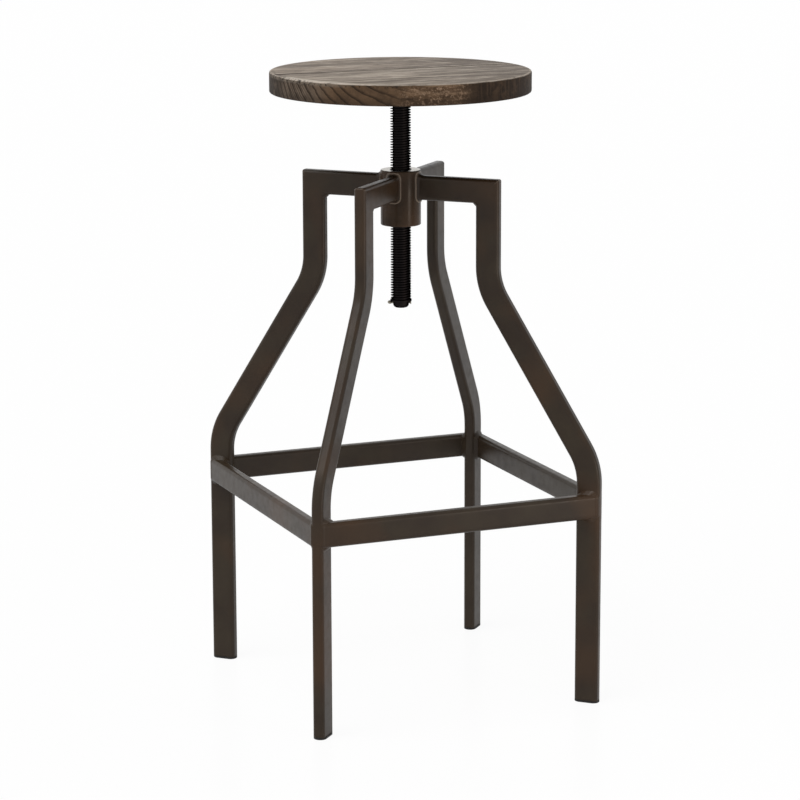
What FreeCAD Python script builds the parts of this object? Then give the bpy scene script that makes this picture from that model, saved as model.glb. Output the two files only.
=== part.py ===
"""Bar stool with a round plank seat on a lead screw.

Four bent tube legs hang from mitred arms that are coped and welded to a threaded hub. Four footrest
bars are cut at 45 degrees and welded between the legs. Turning the seat winds the screw through the hub.
The stool stands on z = 0 with the screw's axis on z, its legs on the diagonals and +Y behind it.
"""

import FreeCAD, Part
import math
import os
from types import SimpleNamespace

import Sketcher
from FreeCAD import Placement, Rotation, Vector

SIZES = [
    ("seat_diameter", 303, "round seat, across"),
    ("seat_thickness", 24, "seat boards, top to underside"),
    ("seat_height", 732, "floor to seat top as photographed"),
    ("seat_round", 2, "worn rounding of the seat's rim"),
    ("board_joint", 13, "glue joint of the two boards, behind the axis"),
    ("plate_diameter", 140, "steel plate under the seat"),
    ("plate_thickness", 6, "steel plate under the seat"),
    ("wood_screw_circle", 110, "circle of the four wood screws, across"),
    ("wood_screw_diameter", 4.5, "wood screw shank"),
    ("wood_screw_length", 20, "wood screw, head face to tip"),
    ("wood_screw_head", 9, "countersunk head, across"),
    ("wood_screw_point", 4, "cone at the wood screw's tip"),
    ("screw_diameter", 23.8, "lead screw over its thread crests"),
    ("screw_weld", 8, "leg of the fillet weld under the plate"),
    ("tip_diameter", 18.5, "plain lower end of the screw"),
    ("tip_length", 6, "split pin's axis to the screw's lower end"),
    ("tip_round", 4, "rounding of the screw's lower end"),
    ("pin_height", 460.5, "floor to the split pin's axis"),
    ("pin_diameter", 3.2, "split pin shank"),
    ("pin_eye", 5.6, "split pin's eye, across"),
    ("pin_tail", 5, "bent tails of the split pin"),
    ("washer_overhang", 0.6, "loose stop washer's rim, beyond the screw"),
    ("washer_thickness", 1.8, "loose stop washer"),
    ("hub_diameter", 47, "hub collar"),
    ("hub_length", 64.5, "hub collar"),
    ("hub_top", 617.2, "floor to the hub's top face"),
    ("hub_chamfer", 1.2, "hub's outer edges"),
    ("tube_depth", 28.5, "frame tube, broad side"),
    ("tube_thickness", 14, "frame tube, narrow side"),
    ("tube_flat", 0.4, "flat left on the frame tube's rounded narrow sides"),
    ("tube_wall", 1.5, "frame tube's wall"),
    ("arm_drop", 19.9, "hub's top face to the arms' centre line"),
    ("upper_radius", 109.3, "axis to the legs' upper stretch"),
    ("upper_bend", 488.2, "floor to the upper bend's corner point"),
    ("lower_bend", 284.7, "floor to the lower bend's corner point"),
    ("foot_radius", 235.1, "axis to the legs' lower stretch"),
    ("bend_radius", 75, "legs' bends, on the centre line"),
    ("footrest_drop", 47, "lower bend's corner point to the footrest bars' centre line"),
    ("footrest_offset", 3, "bars' ends, outward of the legs' centre line"),
    ("hub_weld", 4.5, "fillet welds round the arms at the hub"),
    ("corner_weld", 5, "fillet welds inside the arm corners"),
    ("weld_blend", 0.8, "lean of the ground footrest welds over the legs' rounded sides"),
    ("footrest_weld", 3.5, "fillet welds round the footrest bars' ends"),
    ("weld_toe", 0.5, "thickness of a fillet weld at its edge"),
    ("cap_sole", 2.6, "foot cap's sole"),
    ("cap_lip", 0.7, "sole's overhang round the tube"),
    ("cap_plug", 16, "length of the cap's plug inside the tube"),
    ("cap_wall", 2, "wall of the hollow plug"),
    ("cap_round", 0.8, "rounding under the sole"),
    ("running_clearance", 0.1, "gap round whatever turns or slides"),
    ("fit_clearance", 0.05, "gap round whatever is fixed in a hole"),
]
# Corners of the frame, by the direction of each leg about the axis, in degrees from +X.
CORNERS = {"front_left": 225, "front_right": 315, "back_right": 45, "back_left": 135}
# Sides of the footrest square, by the direction of each bar from the axis.
SIDES = {"front": 270, "right": 0, "back": 90, "left": 180}
# Directions of the wood screws, the first two in the back board and the others in the front board.
WOOD_SCREWS = [45, 135, 225, 315]
# Direction of the split pin's eye, the eye's roll about the shank, and how far the tails are bent.
PIN_TURN = 157.4
EYE_ROLL = -15
TAIL_BEND = 85


class Size(float):
    """A number that also carries its formula in the sheet's words, so arithmetic keeps both."""

    def __new__(cls, value, formula):
        number = super().__new__(cls, value)
        number.formula = formula
        return number

    def __neg__(self):
        return Size(-float(self), f"-({self.formula})")

    def __add__(self, other):
        return Size(float(self) + float(other), f"({self.formula} + {formula_of(other)})")

    def __sub__(self, other):
        return Size(float(self) - float(other), f"({self.formula} - {formula_of(other)})")

    def __mul__(self, other):
        return Size(float(self) * float(other), f"({self.formula}) * ({formula_of(other)})")

    def __truediv__(self, other):
        return Size(float(self) / float(other), f"({self.formula}) / ({formula_of(other)})")

    __rmul__ = __mul__


def formula_of(number):
    """The sheet formula of a size, or a plain number as it is."""
    return getattr(number, "formula", repr(float(number)))


def root(number):
    return Size(math.sqrt(number), f"sqrt({formula_of(number)})")


doc = FreeCAD.newDocument("bar_stool")
sheet = doc.addObject("Spreadsheet::Sheet", "Sizes")
for row, (name, value, meaning) in enumerate(SIZES, start=1):
    sheet.set(f"A{row}", meaning)
    sheet.set(f"B{row}", str(value))
    sheet.setAlias(f"B{row}", name)
doc.recompute()
size = SimpleNamespace(**{name: Size(value, f"Sizes.{name}") for name, value, meaning in SIZES})

SEAT_RADIUS = size.seat_diameter / 2
SEAT_UNDERSIDE = size.seat_height - size.seat_thickness
PLATE_UNDERSIDE = SEAT_UNDERSIDE - size.plate_thickness
SCREW_RADIUS = size.screw_diameter / 2
WASHER_BOTTOM = size.pin_height + size.pin_diameter / 2 + size.running_clearance
# The thread's lower end, which traps the washer above the pin.
SHOULDER = WASHER_BOTTOM + size.washer_thickness + size.running_clearance
TIP_BOTTOM = size.pin_height - size.tip_length
TIP_RADIUS = size.tip_diameter / 2
# Both ends of the split pin's shank, just proud of the screw's plain end.
PIN_REACH = TIP_RADIUS + size.pin_diameter / 2 + 2 * size.fit_clearance
TUBE_CORNER = (size.tube_thickness - size.tube_flat) / 2
HUB_RADIUS = size.hub_diameter / 2
HUB_BOTTOM = size.hub_top - size.hub_length
ARM_HEIGHT = size.hub_top - size.arm_drop
ARM_TOP = ARM_HEIGHT + size.tube_depth / 2
SCREW_HOLE = size.wood_screw_diameter / 2 + size.fit_clearance
COUNTERSINK = (size.wood_screw_head - size.wood_screw_diameter) / 2
# Where a footrest bar's centre line meets the side of a leg, measured along the leg's own radius.
BAR_END = size.foot_radius + size.footrest_offset
FOOTREST_DISTANCE = (BAR_END + size.tube_thickness / 2) / math.sqrt(2)
FOOTREST_HEIGHT = size.lower_bend - size.footrest_drop


def tie(thing, property_name, number):
    """Bind a property to a size's formula."""
    thing.setExpression(property_name, formula_of(number))


def new_body(name, turn=0):
    """An empty body, turned about the stool's axis."""
    body = doc.addObject("PartDesign::Body", name)
    body.Label = name
    body.Placement = Placement(Vector(), Rotation(Vector(0, 0, 1), turn))
    return body


def new_sketch(body, plane_role, turn=None, **offsets):
    """A sketch on one of the body's own planes, turned there and moved along the plane's x, y and z."""
    sketch = body.newObject("Sketcher::SketchObject", "sketch")
    plane = next(f for f in body.Origin.OriginFeatures if f.Role == plane_role)
    sketch.AttachmentSupport = (plane, [""])
    sketch.MapMode = "FlatFace"
    if turn:
        sketch.AttachmentOffset = Placement(Vector(), turn)
    for axis, number in offsets.items():
        tie(sketch, f"AttachmentOffset.Base.{axis}", number)
    return sketch


def constrain(sketch, number, *constraint):
    """Add a constraint whose value follows a size."""
    index = sketch.addConstraint(Sketcher.Constraint(*constraint, float(number)))
    sketch.renameConstraint(index, f"size_{index}")
    tie(sketch, f"Constraints.size_{index}", number)


def arc(centre, radius, start, end):
    return Part.ArcOfCircle(Part.Circle(Vector(*centre, 0), Vector(0, 0, 1), float(radius)), start, end)


def line(start, end):
    return Part.LineSegment(Vector(*start, 0), Vector(*end, 0))


def circle(sketch, radius, across=None, along=None):
    """A circle at a place in the sketch, or on its origin."""
    centre = Vector(across or 0, along or 0, 0)
    index = sketch.addGeometry(Part.Circle(centre, Vector(0, 0, 1), float(radius)))
    constrain(sketch, radius, "Radius", index)
    if across is None:
        sketch.addConstraint(Sketcher.Constraint("Coincident", index, 3, -1, 1))
    else:
        constrain(sketch, across, "DistanceX", -1, 1, index, 3)
        constrain(sketch, along, "DistanceY", -1, 1, index, 3)


def rounded_rectangle(sketch, width, height, corner):
    """A rounded rectangle about the sketch's origin."""
    x, y = width / 2, height / 2
    near_x, near_y = x - corner, y - corner
    centres = [(near_x, near_y), (-near_x, near_y), (-near_x, -near_y), (near_x, -near_y)]
    ends = [
        ((near_x, y), (-near_x, y)),
        ((-x, near_y), (-x, -near_y)),
        ((-near_x, -y), (near_x, -y)),
        ((x, -near_y), (x, near_y)),
    ]
    quarter = math.pi / 2
    arcs = [sketch.addGeometry(arc(c, corner, k * quarter, (k + 1) * quarter)) for k, c in enumerate(centres)]
    sides = [sketch.addGeometry(line(*pair)) for pair in ends]
    for k in range(4):
        sketch.addConstraint(Sketcher.Constraint("Tangent", arcs[k], 2, sides[k], 1))
        sketch.addConstraint(Sketcher.Constraint("Tangent", sides[k], 2, arcs[(k + 1) % 4], 1))
        sketch.addConstraint(Sketcher.Constraint(["Horizontal", "Vertical"][k % 2], sides[k]))
    for k in (1, 2, 3):
        sketch.addConstraint(Sketcher.Constraint("Equal", arcs[0], arcs[k]))
    sketch.addConstraint(Sketcher.Constraint("Symmetric", arcs[0], 3, arcs[2], 3, -1, 1))
    constrain(sketch, corner, "Radius", arcs[0])
    constrain(sketch, width, "DistanceX", sides[1], 1, sides[3], 1)
    constrain(sketch, height, "DistanceY", sides[2], 1, sides[0], 1)


def polygon(sketch, corners):
    """A closed outline with straight sides."""
    count = len(corners)
    lines = [sketch.addGeometry(line(corners[k], corners[(k + 1) % count])) for k in range(count)]
    for k, (across, along) in enumerate(corners):
        sketch.addConstraint(Sketcher.Constraint("Coincident", lines[k], 2, lines[(k + 1) % count], 1))
        constrain(sketch, across, "DistanceX", -1, 1, lines[k], 1)
        constrain(sketch, along, "DistanceY", -1, 1, lines[k], 1)


def tube_outline(sketch, wide, tall, grow=0):
    """The frame tube's outer outline, grown all round."""
    rounded_rectangle(sketch, wide + 2 * grow, tall + 2 * grow, TUBE_CORNER + grow)


def tube_section(sketch, wide, tall):
    """The frame tube's cut face: its outline and its bore."""
    tube_outline(sketch, wide, tall)
    tube_outline(sketch, wide, tall, -size.tube_wall)


def pad(body, sketch, length, both_ways=False, backward=False):
    feature = body.newObject("PartDesign::Pad", "pad")
    feature.Profile = sketch
    feature.Midplane = both_ways
    feature.Reversed = backward
    tie(feature, "Length", length)


def loft(body, root_sketch, edge_sketch):
    feature = body.newObject("PartDesign::AdditiveLoft", "loft")
    feature.Profile = root_sketch
    feature.Sections = [edge_sketch]


def revolve(body, section):
    """Turn the section about the sketch's upright axis."""
    feature = body.newObject("PartDesign::Revolution", "turned")
    feature.Profile = section
    feature.ReferenceAxis = (section, ["V_Axis"])
    feature.Angle = 360


def cut_through(body, sketch):
    """Cut the sketch right through the body, both ways."""
    feature = body.newObject("PartDesign::Pocket", "cut")
    feature.Profile = sketch
    feature.Type = "ThroughAll"
    feature.Midplane = True


def dress(body, kind, property_name, number, wanted):
    """Fillet or chamfer the edges of the body's last feature that wanted() accepts."""
    doc.recompute()
    base = body.Tip
    edges = [f"Edge{k}" for k, edge in enumerate(base.Shape.Edges, start=1) if wanted(edge)]
    feature = body.newObject(f"PartDesign::{kind}", kind.lower())
    feature.Base = (base, edges)
    tie(feature, property_name, number)


def is_circle(edge, radius):
    return isinstance(edge.Curve, Part.Circle) and abs(edge.Curve.Radius - radius) < 1e-6


def lies_at(edge, height):
    return abs(edge.BoundBox.ZMin - height) < 1e-6 and abs(edge.BoundBox.ZMax - height) < 1e-6


def group(name, bodies):
    """Like pieces that share one node as separate solids."""
    compound = doc.addObject("Part::Compound", name)
    compound.Label = name
    compound.Links = bodies
    return compound


def hub_collar():
    """Turned collar, bored for the screw."""
    body = new_body("hub_collar")
    face = new_sketch(body, "XY_Plane", z=HUB_BOTTOM)
    circle(face, HUB_RADIUS)
    circle(face, SCREW_RADIUS + size.running_clearance)
    pad(body, face, size.hub_length)
    dress(body, "Chamfer", "Size", size.hub_chamfer, lambda edge: is_circle(edge, HUB_RADIUS))
    return body


def mitre(body, side):
    """Saw at 45 degrees through the corner of arm and leg: below that plane at side 1, above it at -1."""
    face = new_sketch(body, "XZ_Plane", x=size.upper_radius, y=ARM_HEIGHT)
    reach = size.tube_depth
    polygon(face, [(-reach, -reach), (reach, reach), (side * reach, -side * reach)])
    cut_through(body, face)


def hub_cope(body):
    """Cut away what would stand inside the hub."""
    face = new_sketch(body, "XY_Plane")
    circle(face, HUB_RADIUS)
    cut_through(body, face)


def arm(corner, turn):
    """Horizontal tube, coped to the hub and mitred to its leg."""
    body = new_body(f"arm_{corner}", turn)
    face = new_sketch(body, "YZ_Plane", y=ARM_HEIGHT)
    tube_section(face, size.tube_thickness, size.tube_depth)
    pad(body, face, size.upper_radius + size.tube_depth / 2)
    hub_cope(body)
    mitre(body, side=1)
    return body


def leg_path(body):
    """Centre line of a leg in its own upright plane: upright, bend, slope, bend, upright."""
    near, far, radius = size.upper_radius, size.foot_radius, size.bend_radius
    high, low = size.upper_bend, size.lower_bend
    slope = (far - near) / (high - low)
    slant = math.atan(slope)
    bend = Size(radius * math.tan(slant / 2), f"{formula_of(radius)} * tan(atan({formula_of(slope)}) / 2)")
    run_x, run_y = bend * math.sin(slant), bend * math.cos(slant)
    path = new_sketch(body, "XZ_Plane")
    upright = path.addGeometry(line((near, ARM_TOP), (near, high + bend)))
    outward = path.addGeometry(arc((near + radius, high + bend), radius, math.pi, math.pi + slant))
    sloped = path.addGeometry(line((near + run_x, high - run_y), (far - run_x, low + run_y)))
    back = path.addGeometry(arc((far - radius, low - bend), radius, 0, slant))
    foot = path.addGeometry(line((far, low - bend), (far, size.cap_sole)))
    for join in [(upright, 2, outward, 1), (outward, 2, sloped, 1), (sloped, 2, back, 2), (back, 1, foot, 1)]:
        path.addConstraint(Sketcher.Constraint("Tangent", *join))
    path.addConstraint(Sketcher.Constraint("Vertical", upright))
    path.addConstraint(Sketcher.Constraint("Vertical", foot))
    path.addConstraint(Sketcher.Constraint("Equal", outward, back))
    constrain(path, radius, "Radius", outward)
    constrain(path, near, "DistanceX", -1, 1, upright, 1)
    constrain(path, ARM_TOP, "DistanceY", -1, 1, upright, 1)
    constrain(path, high + bend, "DistanceY", -1, 1, outward, 3)
    constrain(path, low - bend, "DistanceY", -1, 1, back, 3)
    constrain(path, far, "DistanceX", -1, 1, foot, 2)
    constrain(path, size.cap_sole, "DistanceY", -1, 1, foot, 2)
    return path


def leg(corner, turn):
    """One tube, bent outward and back to upright, mitred to its arm and cut square above its cap."""
    body = new_body(f"leg_{corner}", turn)
    section = new_sketch(body, "XY_Plane", x=size.upper_radius, z=ARM_TOP)
    tube_section(section, size.tube_depth, size.tube_thickness)
    path = leg_path(body)
    tube = body.newObject("PartDesign::AdditivePipe", "bent_tube")
    tube.Profile = section
    tube.Spine = (path, [])
    mitre(body, side=-1)
    return body


def footrest_bar(side, turn):
    """Tube between two legs, both ends sawn at 45 degrees to lie on the legs' broad sides."""
    body = new_body(f"footrest_bar_{side}", turn)
    face = new_sketch(body, "XZ_Plane", x=FOOTREST_DISTANCE, y=FOOTREST_HEIGHT)
    tube_section(face, size.tube_thickness, size.tube_depth)
    pad(body, face, 2 * FOOTREST_DISTANCE, both_ways=True)
    half_length = FOOTREST_DISTANCE - size.tube_thickness / math.sqrt(2)
    reach = size.tube_depth
    for end in (1, -1):
        saw = new_sketch(body, "XY_Plane", x=FOOTREST_DISTANCE, y=end * half_length)
        polygon(saw, [(-reach, -end * reach), (reach, end * reach), (-reach, end * reach)])
        cut_through(body, saw)
    return body


def foot_cap(corner, turn):
    """Moulded cap: a sole a little wider than the tube, and a hollow plug pushed into it."""
    body = new_body(f"foot_cap_{corner}", turn)
    sole = new_sketch(body, "XY_Plane", x=size.foot_radius)
    tube_outline(sole, size.tube_depth, size.tube_thickness, size.cap_lip)
    pad(body, sole, size.cap_sole)
    dress(body, "Fillet", "Radius", size.cap_round, lambda edge: lies_at(edge, 0))
    plug = new_sketch(body, "XY_Plane", x=size.foot_radius, z=size.cap_sole)
    sunk = size.tube_wall + size.fit_clearance
    tube_outline(plug, size.tube_depth, size.tube_thickness, -sunk)
    tube_outline(plug, size.tube_depth, size.tube_thickness, -(sunk + size.cap_wall))
    pad(body, plug, size.cap_plug)
    return body


def hub_weld_bead(corner, turn):
    """Fillet weld all round an arm where it meets the hub."""
    body = new_body(f"hub_weld_{corner}", turn)
    half_width = size.tube_thickness / 2 + size.hub_weld
    root_depth = root(HUB_RADIUS * HUB_RADIUS - half_width * half_width) - size.weld_toe
    root_face = new_sketch(body, "YZ_Plane", y=ARM_HEIGHT, z=root_depth)
    tube_outline(root_face, size.tube_thickness, size.tube_depth, size.hub_weld)
    edge_face = new_sketch(body, "YZ_Plane", y=ARM_HEIGHT, z=HUB_RADIUS + size.hub_weld)
    tube_outline(edge_face, size.tube_thickness, size.tube_depth, size.weld_toe)
    loft(body, root_face, edge_face)
    arm_shape = new_sketch(body, "YZ_Plane", y=ARM_HEIGHT)
    tube_outline(arm_shape, size.tube_thickness, size.tube_depth)
    cut_through(body, arm_shape)
    hub_cope(body)
    return body


def corner_weld_bead(corner, turn):
    """Fillet weld across the inner corner of an arm and its leg, as round in front as the tubes' sides."""
    body = new_body(f"corner_weld_{corner}", turn)
    half_depth = size.tube_depth / 2
    sunk = half_depth - half_depth / math.sqrt(2) + size.corner_weld / 2
    along_mitre = Rotation(Vector(1, 0, 0), 45)
    front = new_sketch(body, "YZ_Plane", turn=along_mitre, y=ARM_HEIGHT - sunk, z=size.upper_radius - sunk)
    tube_outline(front, size.tube_thickness, size.tube_depth, -size.fit_clearance)
    pad(body, front, size.tube_thickness, both_ways=True)
    arm_shape = new_sketch(body, "YZ_Plane", y=ARM_HEIGHT)
    tube_outline(arm_shape, size.tube_thickness, size.tube_depth)
    cut_through(body, arm_shape)
    leg_shape = new_sketch(body, "XY_Plane", x=size.upper_radius)
    tube_outline(leg_shape, size.tube_depth, size.tube_thickness)
    cut_through(body, leg_shape)
    return body


def footrest_weld_bead(corner, turn, side):
    """Fillet weld round a footrest bar's end on a leg; outside it is ground flush and runs out on the leg."""
    body = new_body(f"footrest_weld_{corner}_{'right' if side > 0 else 'left'}", turn)
    cut_width = size.tube_thickness * math.sqrt(2)
    half_leg = size.tube_thickness / 2
    bead = size.footrest_weld
    height = FOOTREST_HEIGHT
    root_face = new_sketch(body, "XZ_Plane", x=BAR_END, y=height, z=side * (half_leg - size.weld_toe))
    tube_outline(root_face, cut_width, size.tube_depth, bead)
    edge_face = new_sketch(body, "XZ_Plane", x=BAR_END - bead, y=height, z=side * (half_leg + bead))
    tube_outline(edge_face, cut_width, size.tube_depth, size.weld_toe)
    loft(body, root_face, edge_face)
    along_bar = Rotation(Vector(0, 1, 0), -45 * side)
    bar_shape = new_sketch(body, "XZ_Plane", turn=along_bar, x=BAR_END, y=height, z=side * half_leg)
    tube_outline(bar_shape, size.tube_thickness, size.tube_depth)
    cut_through(body, bar_shape)
    bar_face = FOOTREST_DISTANCE + half_leg
    far = bar_face + size.tube_depth
    wide = 2 * FOOTREST_DISTANCE
    flush = new_sketch(body, "XY_Plane", turn=Rotation(Vector(0, 0, 1), -45 * side))
    polygon(flush, [(bar_face, -wide), (far, -wide), (far, wide), (bar_face, wide)])
    cut_through(body, flush)
    bar_edge = new_sketch(body, "XZ_Plane", x=BAR_END, y=height, z=side * half_leg)
    tube_outline(bar_edge, cut_width, size.tube_depth, size.fit_clearance)
    run_out = new_sketch(body, "XZ_Plane", x=BAR_END + size.weld_blend, y=height, z=side * size.weld_toe)
    tube_outline(run_out, cut_width, size.tube_depth, size.fit_clearance)
    loft(body, bar_edge, run_out)
    leg_shape = new_sketch(body, "XY_Plane", x=size.foot_radius)
    tube_outline(leg_shape, size.tube_depth, size.tube_thickness)
    cut_through(body, leg_shape)
    return body


def lead_screw():
    """Threaded rod at its crest diameter, turned down below the thread and drilled for the split pin."""
    body = new_body("lead_screw", PIN_TURN)
    thread = new_sketch(body, "XY_Plane", z=SHOULDER)
    circle(thread, SCREW_RADIUS)
    pad(body, thread, SEAT_UNDERSIDE - SHOULDER)
    tip = new_sketch(body, "XY_Plane", z=TIP_BOTTOM)
    circle(tip, TIP_RADIUS)
    pad(body, tip, SHOULDER - TIP_BOTTOM)
    dress(body, "Fillet", "Radius", size.tip_round, lambda edge: lies_at(edge, TIP_BOTTOM))
    drill = new_sketch(body, "YZ_Plane", y=size.pin_height)
    circle(drill, size.pin_diameter / 2 + size.fit_clearance)
    cut_through(body, drill)
    return body


def split_pin():
    """Split pin through the screw's end: an eye on one side, two bent tails on the other."""
    body = new_body("split_pin", PIN_TURN)
    tie(body, "Placement.Base.z", size.pin_height)
    wire = size.pin_diameter / 2
    shank = new_sketch(body, "YZ_Plane", z=-PIN_REACH)
    circle(shank, wire)
    pad(body, shank, 2 * PIN_REACH)
    eye_radius = size.pin_eye / 2
    rolled = Rotation(Vector(1, 0, 0), EYE_ROLL)
    eye = new_sketch(body, "XY_Plane", turn=rolled, x=PIN_REACH + eye_radius - wire / 2)
    circle(eye, eye_radius)
    circle(eye, eye_radius - wire)
    pad(body, eye, wire, both_ways=True)
    for way in (1, -1):
        bent = Rotation(Vector(0, 1, 0), TAIL_BEND * way)
        start = wire / 2 + size.fit_clearance - PIN_REACH
        tail = new_sketch(body, "YZ_Plane", turn=bent, x=-way * wire / 3, z=start)
        circle(tail, wire / 2)
        pad(body, tail, size.pin_tail, backward=True)
    return body


def stop_washer():
    """Loose washer above the pin, which meets the hub when the seat is fully raised."""
    body = new_body("stop_washer")
    face = new_sketch(body, "XY_Plane", z=WASHER_BOTTOM)
    circle(face, SCREW_RADIUS + size.washer_overhang)
    circle(face, TIP_RADIUS + size.running_clearance)
    pad(body, face, size.washer_thickness)
    return body


def wood_screw_places(directions):
    """Across and along of each wood screw."""
    radius = size.wood_screw_circle / 2
    return [(radius * math.cos(math.radians(a)), radius * math.sin(math.radians(a))) for a in directions]


def mounting_plate():
    """Steel disc under the seat, holed for the screw and countersunk for the wood screws."""
    body = new_body("mounting_plate")
    face = new_sketch(body, "XY_Plane", z=PLATE_UNDERSIDE)
    circle(face, size.plate_diameter / 2)
    circle(face, SCREW_RADIUS + size.fit_clearance)
    for place in wood_screw_places(WOOD_SCREWS):
        circle(face, SCREW_HOLE, *place)
    pad(body, face, size.plate_thickness)
    dress(
        body,
        "Chamfer",
        "Size",
        COUNTERSINK,
        lambda edge: is_circle(edge, SCREW_HOLE) and lies_at(edge, PLATE_UNDERSIDE),
    )
    return body


def wood_screw(number, across, along):
    """Countersunk wood screw, point up, with its head flush with the plate."""
    body = new_body(f"wood_screw_{number}")
    for axis, place in zip("xyz", (across, along, PLATE_UNDERSIDE)):
        tie(body, f"Placement.Base.{axis}", place)
    section = new_sketch(body, "XZ_Plane")
    shank = size.wood_screw_diameter / 2
    point = size.wood_screw_length - size.wood_screw_point
    corners = [(0, 0), (size.wood_screw_head / 2, 0), (shank, COUNTERSINK), (shank, point)]
    polygon(section, corners + [(0, size.wood_screw_length)])
    revolve(body, section)
    return body


def screw_weld_bead():
    """Fillet weld between the screw and the plate; it meets the hub when the seat is fully lowered."""
    body = new_body("screw_weld_bead")
    section = new_sketch(body, "XZ_Plane", y=PLATE_UNDERSIDE)
    inner, run, toe = SCREW_RADIUS, size.screw_weld, size.weld_toe
    corners = [(inner, 0), (inner, -run), (inner + toe, -run), (inner + run, -toe), (inner + run, 0)]
    polygon(section, corners)
    revolve(body, section)
    return body


def seat_board(name, behind):
    """One of the two boards glued edge to edge and turned round, with a worn rim and pilot holes."""
    body = new_body(f"seat_board_{name}")
    outline = new_sketch(body, "XY_Plane", z=SEAT_UNDERSIDE)
    joint = size.board_joint
    tilt = math.asin(joint / SEAT_RADIUS)
    start, end = (tilt, math.pi - tilt) if behind else (math.pi - tilt, 2 * math.pi + tilt)
    half_chord = SEAT_RADIUS * math.cos(tilt) * (1 if behind else -1)
    rim = outline.addGeometry(arc((0, 0), SEAT_RADIUS, start, end))
    chord = outline.addGeometry(line((-half_chord, joint), (half_chord, joint)))
    outline.addConstraint(Sketcher.Constraint("Coincident", rim, 3, -1, 1))
    outline.addConstraint(Sketcher.Constraint("Coincident", rim, 2, chord, 1))
    outline.addConstraint(Sketcher.Constraint("Coincident", chord, 2, rim, 1))
    outline.addConstraint(Sketcher.Constraint("Horizontal", chord))
    constrain(outline, SEAT_RADIUS, "Radius", rim)
    constrain(outline, joint, "DistanceY", -1, 1, chord, 1)
    pad(body, outline, size.seat_thickness)
    dress(body, "Fillet", "Radius", size.seat_round, lambda edge: is_circle(edge, SEAT_RADIUS))
    holes = new_sketch(body, "XY_Plane", z=SEAT_UNDERSIDE)
    for place in wood_screw_places(WOOD_SCREWS[:2] if behind else WOOD_SCREWS[2:]):
        circle(holes, SCREW_HOLE, *place)
    drilled = body.newObject("PartDesign::Pocket", "pilot_holes")
    drilled.Profile = holes
    drilled.Reversed = True
    tie(drilled, "Length", size.wood_screw_length - size.plate_thickness + size.running_clearance)
    return body


parts = [hub_collar(), lead_screw(), split_pin(), stop_washer(), mounting_plate(), screw_weld_bead()]
parts += [seat_board("front", behind=False), seat_board("back", behind=True)]
for corner, turn in CORNERS.items():
    parts += [arm(corner, turn), leg(corner, turn), foot_cap(corner, turn)]
parts += [footrest_bar(side, turn) for side, turn in SIDES.items()]
places = enumerate(wood_screw_places(WOOD_SCREWS), start=1)
parts.append(group("wood_screws", [wood_screw(number, *place) for number, place in places]))
parts.append(group("hub_weld_beads", [hub_weld_bead(*corner) for corner in CORNERS.items()]))
parts.append(group("corner_weld_beads", [corner_weld_bead(*corner) for corner in CORNERS.items()]))
beads = [footrest_weld_bead(*corner, side) for corner in CORNERS.items() for side in (1, -1)]
parts.append(group("footrest_weld_beads", beads))
doc.recompute()

for thing in doc.Objects:
    if {"Invalid", "Error"} & set(thing.State):
        raise RuntimeError(f"{thing.Label} failed: {thing.State}")
for part in parts:
    if part.Shape.isNull() or not part.Shape.isValid():
        raise RuntimeError(f"{part.Label} has no valid shape")

os.makedirs("parts", exist_ok=True)
for part in parts:
    part.Shape.exportStep(f"parts/{part.Label}.step")
    box = part.Shape.BoundBox
    print(
        f"{part.Label}: {len(part.Shape.Solids)} solids, {part.Shape.Volume:.0f} mm3,"
        f" x {box.XMin:.1f} {box.XMax:.1f}, y {box.YMin:.1f} {box.YMax:.1f}, z {box.ZMin:.1f} {box.ZMax:.1f}"
    )
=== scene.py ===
from math import atan, cos, pi, radians, sin, sqrt, tan
import bmesh
import bpy
from mathutils import Matrix, Vector, noise


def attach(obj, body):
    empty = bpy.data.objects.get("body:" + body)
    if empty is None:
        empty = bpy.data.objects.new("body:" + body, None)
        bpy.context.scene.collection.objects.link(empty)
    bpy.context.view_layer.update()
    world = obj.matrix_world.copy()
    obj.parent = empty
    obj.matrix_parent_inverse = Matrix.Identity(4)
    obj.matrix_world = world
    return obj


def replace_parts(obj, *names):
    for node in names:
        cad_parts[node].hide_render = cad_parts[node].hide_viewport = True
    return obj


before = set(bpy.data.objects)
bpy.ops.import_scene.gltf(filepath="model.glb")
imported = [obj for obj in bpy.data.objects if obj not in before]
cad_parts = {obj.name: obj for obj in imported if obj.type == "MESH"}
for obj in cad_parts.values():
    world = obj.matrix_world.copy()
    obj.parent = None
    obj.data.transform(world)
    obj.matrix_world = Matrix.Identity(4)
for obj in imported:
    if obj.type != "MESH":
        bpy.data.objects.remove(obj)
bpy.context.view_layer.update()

# The hub collar: a short length of round steel bar, bored and tapped for the lead screw, its
# rims eased on the lathe. It is lacquered with the frame, and its top is then faced bare.
MM = 0.001
HUB_RADIUS = 23.5 * MM
HUB_BORE = 12.05 * MM
HUB_TOP = 617.2 * MM
HUB_LENGTH = 64.5 * MM
HUB_ROUND = 1.3 * MM
HUB_STEPS = 96
SAME_CORNER = 0.001 * MM
SAME_LEVEL = 0.01 * MM
ONE_WAVE = 2 * pi / 20  # what a wave texture of scale 1 takes for one wave


def linear(colour):
    """An sRGB hex colour as linear red, green, blue and alpha."""
    parts = [int(colour[i:i + 2], 16) / 255 for i in (1, 3, 5)]
    return [c / 12.92 if c <= 0.04045 else ((c + 0.055) / 1.055) ** 2.4 for c in parts] + [1.0]


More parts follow.
